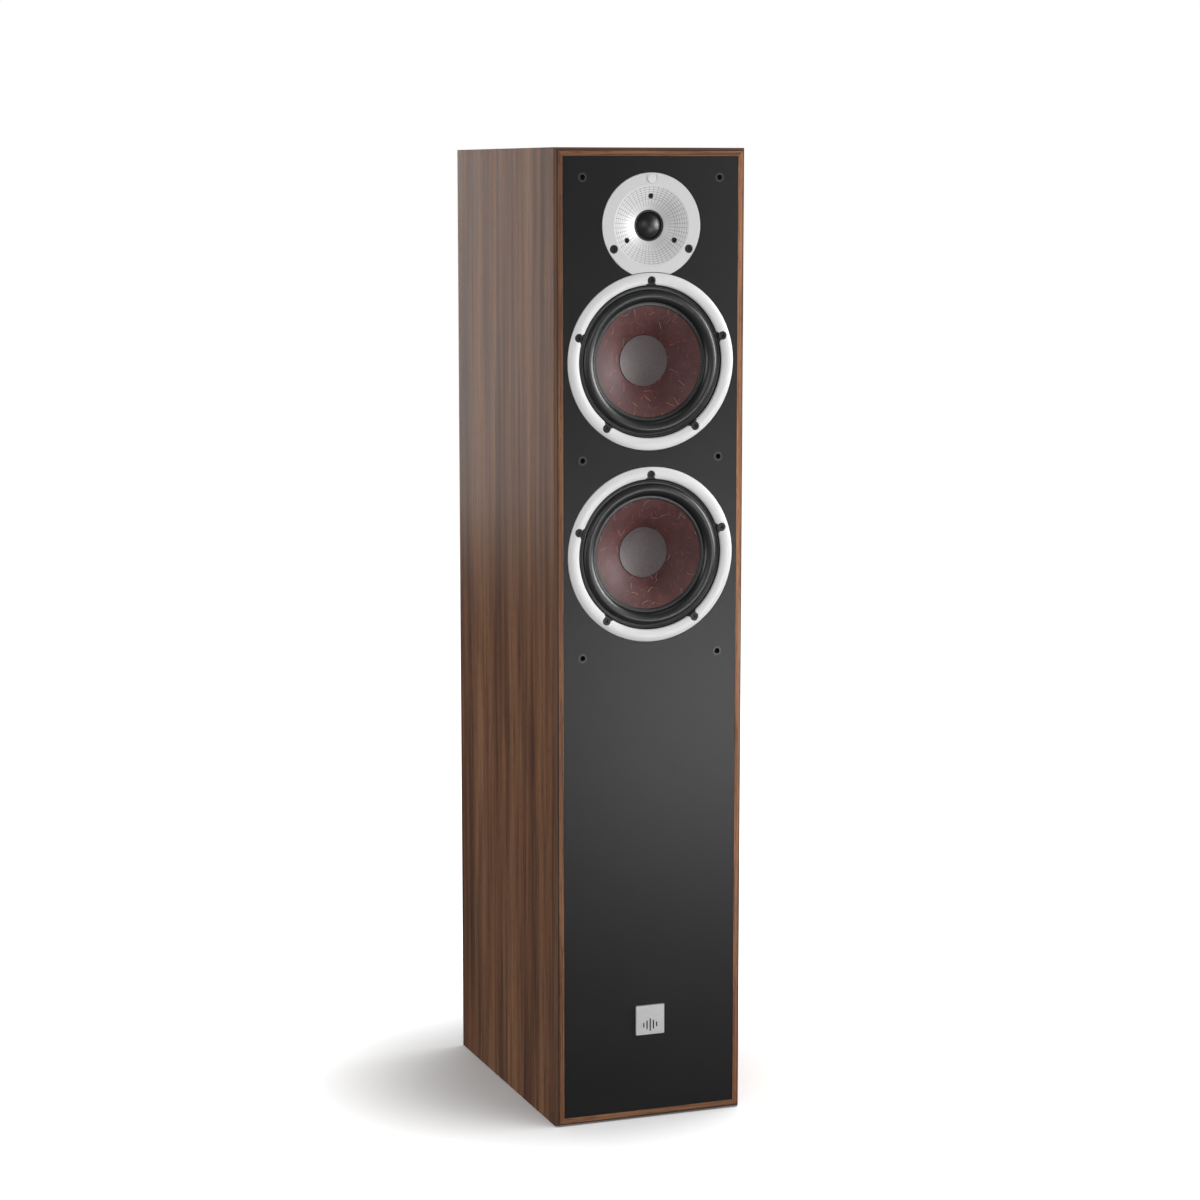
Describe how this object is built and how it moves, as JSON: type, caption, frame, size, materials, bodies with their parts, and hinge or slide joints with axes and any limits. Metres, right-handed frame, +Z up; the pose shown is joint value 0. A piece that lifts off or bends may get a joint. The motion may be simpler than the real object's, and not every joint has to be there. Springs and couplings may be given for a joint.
{
  "type": "floorstanding speaker",
  "caption": "Slim floorstanding speaker with a walnut cabinet, black baffle, dome tweeter above woofers in silver rings, rear reflex port and screw terminals.",
  "frame": {"origin": "middle of the base, on the surface the speaker stands on", "axes": "+Z up, -Y out of the front baffle, +X to the right seen from the front"},
  "size_m": [0.195, 0.304, 0.952],
  "materials": {
    "walnut": "satin walnut veneer, upright grain",
    "black_baffle": "fine satin black",
    "black_board": "black foil",
    "raw_board": "raw fibreboard",
    "silver": "fine satin silver",
    "brushed_badge": "brushed",
    "black_plastic": "fine moulded grain",
    "brass": "bright",
    "red_plastic": "clear red, fluted",
    "black_cap_plastic": "black, fluted",
    "black_screw": "black zinc",
    "gasket_foam": "closed-cell foam",
    "basket_paint": "satin black",
    "surround_rubber": "matt rubber",
    "fibre_cone": "dark red-brown pulp with pale fibres",
    "cap_fabric": "fine woven texture",
    "coil_wire": "lacquered copper",
    "spider_cloth": "resin-coated cloth",
    "plated_steel": "zinc plate",
    "ferrite": "sintered ferrite",
    "dome_cloth": "coated black cloth",
    "circuit_board": "green lacquer",
    "capacitor_film": "yellow wrap",
    "resistor_ceramic": "cement",
    "lead_sheath": "soft sheath",
    "wadding": "soft polyester wadding"
  },
  "bodies": {
    "root": {"left_side_panel": "walnut", "right_side_panel": "walnut", "top_panel": "walnut", "bottom_panel": "walnut", "front_baffle": "black_baffle", "rear_panel": "black_board", "window_braces": "raw_board", "tweeter_faceplate": "silver", "tweeter_screw_cap": "silver", "badge": "brushed_badge", "grille_sockets": "black_plastic", "reflex_port": "black_plastic", "terminal_cup": "black_plastic", "terminal_post_collars": "black_plastic", "crossover_standoffs": "black_plastic", "spike_inserts": "brass", "terminal_post_shafts": "brass", "terminal_post_nuts": "brass", "tweeter_outer_screws": "black_screw", "tweeter_inner_screws": "black_screw", "terminal_cup_screws": "black_screw", "driver_gaskets": "gasket_foam", "upper_woofer_trim_ring": "silver", "upper_woofer_screws": "black_screw", "upper_woofer_basket": "basket_paint", "upper_woofer_surround": "surround_rubber", "upper_woofer_spider": "spider_cloth", "upper_woofer_top_plate": "plated_steel", "upper_woofer_back_plate": "plated_steel", "upper_woofer_magnet": "ferrite", "lower_woofer_trim_ring": "silver", "lower_woofer_screws": "black_screw", "lower_woofer_basket": "basket_paint", "lower_woofer_surround": "surround_rubber", "lower_woofer_spider": "spider_cloth", "lower_woofer_top_plate": "plated_steel", "lower_woofer_back_plate": "plated_steel", "lower_woofer_magnet": "ferrite", "tweeter_surround": "dome_cloth", "crossover_inductors": "coil_wire", "tweeter_top_plate": "plated_steel", "tweeter_back_plate": "plated_steel", "tweeter_magnet": "ferrite", "crossover_board": "circuit_board", "crossover_capacitors": "capacitor_film", "crossover_resistors": "resistor_ceramic", "internal_wiring": "lead_sheath", "damping_pads": "wadding"},
    "upper_cone": {"upper_woofer_cone": "fibre_cone", "upper_woofer_dust_cap": "cap_fabric", "upper_woofer_voice_coil": "coil_wire"},
    "lower_cone": {"lower_woofer_cone": "fibre_cone", "lower_woofer_dust_cap": "cap_fabric", "lower_woofer_voice_coil": "coil_wire"},
    "tweeter_diaphragm": {"tweeter_dome": "dome_cloth", "tweeter_voice_coil": "coil_wire"},
    "red_washer": {"red_post_washer": "brass"},
    "red_cap": {"red_post_cap": "red_plastic"},
    "black_washer": {"black_post_washer": "brass"},
    "black_cap": {"black_post_cap": "black_cap_plastic"}
  },
  "joints": [
    {"name": "upper_cone_stroke", "type": "slide", "parent": "root", "child": "upper_cone", "axis": [0, -1, 0], "range_m": [-0.005, 0.005], "stiffness_N_per_m": 1000, "deforming": ["upper_woofer_surround", "upper_woofer_spider"]},
    {"name": "lower_cone_stroke", "type": "slide", "parent": "root", "child": "lower_cone", "axis": [0, -1, 0], "range_m": [-0.005, 0.005], "stiffness_N_per_m": 1000, "deforming": ["lower_woofer_surround", "lower_woofer_spider"]},
    {"name": "tweeter_stroke", "type": "slide", "parent": "root", "child": "tweeter_diaphragm", "axis": [0, -1, 0], "range_m": [-0.0004, 0.0004], "stiffness_N_per_m": 300, "deforming": ["tweeter_surround"]},
    {"name": "red_washer_slide", "type": "slide", "parent": "root", "child": "red_washer", "axis": [0, 1, 0], "range_m": [0, 0.005]},
    {"name": "red_cap_turn", "type": "hinge", "parent": "red_washer", "child": "red_cap", "pos_m": [-0.00953, 0.14, 0.15], "axis": [0, 1, 0], "range_deg": [0, 1800]},
    {"name": "black_washer_slide", "type": "slide", "parent": "root", "child": "black_washer", "axis": [0, 1, 0], "range_m": [0, 0.005]},
    {"name": "black_cap_turn", "type": "hinge", "parent": "black_washer", "child": "black_cap", "pos_m": [0.00953, 0.14, 0.15], "axis": [0, 1, 0], "range_deg": [0, 1800]}
  ],
  "couplings": [
    {"joint": "red_cap_turn", "follows": "red_washer_slide", "rad_per_m": 6283.2},
    {"joint": "black_cap_turn", "follows": "black_washer_slide", "rad_per_m": 6283.2}
  ]
}
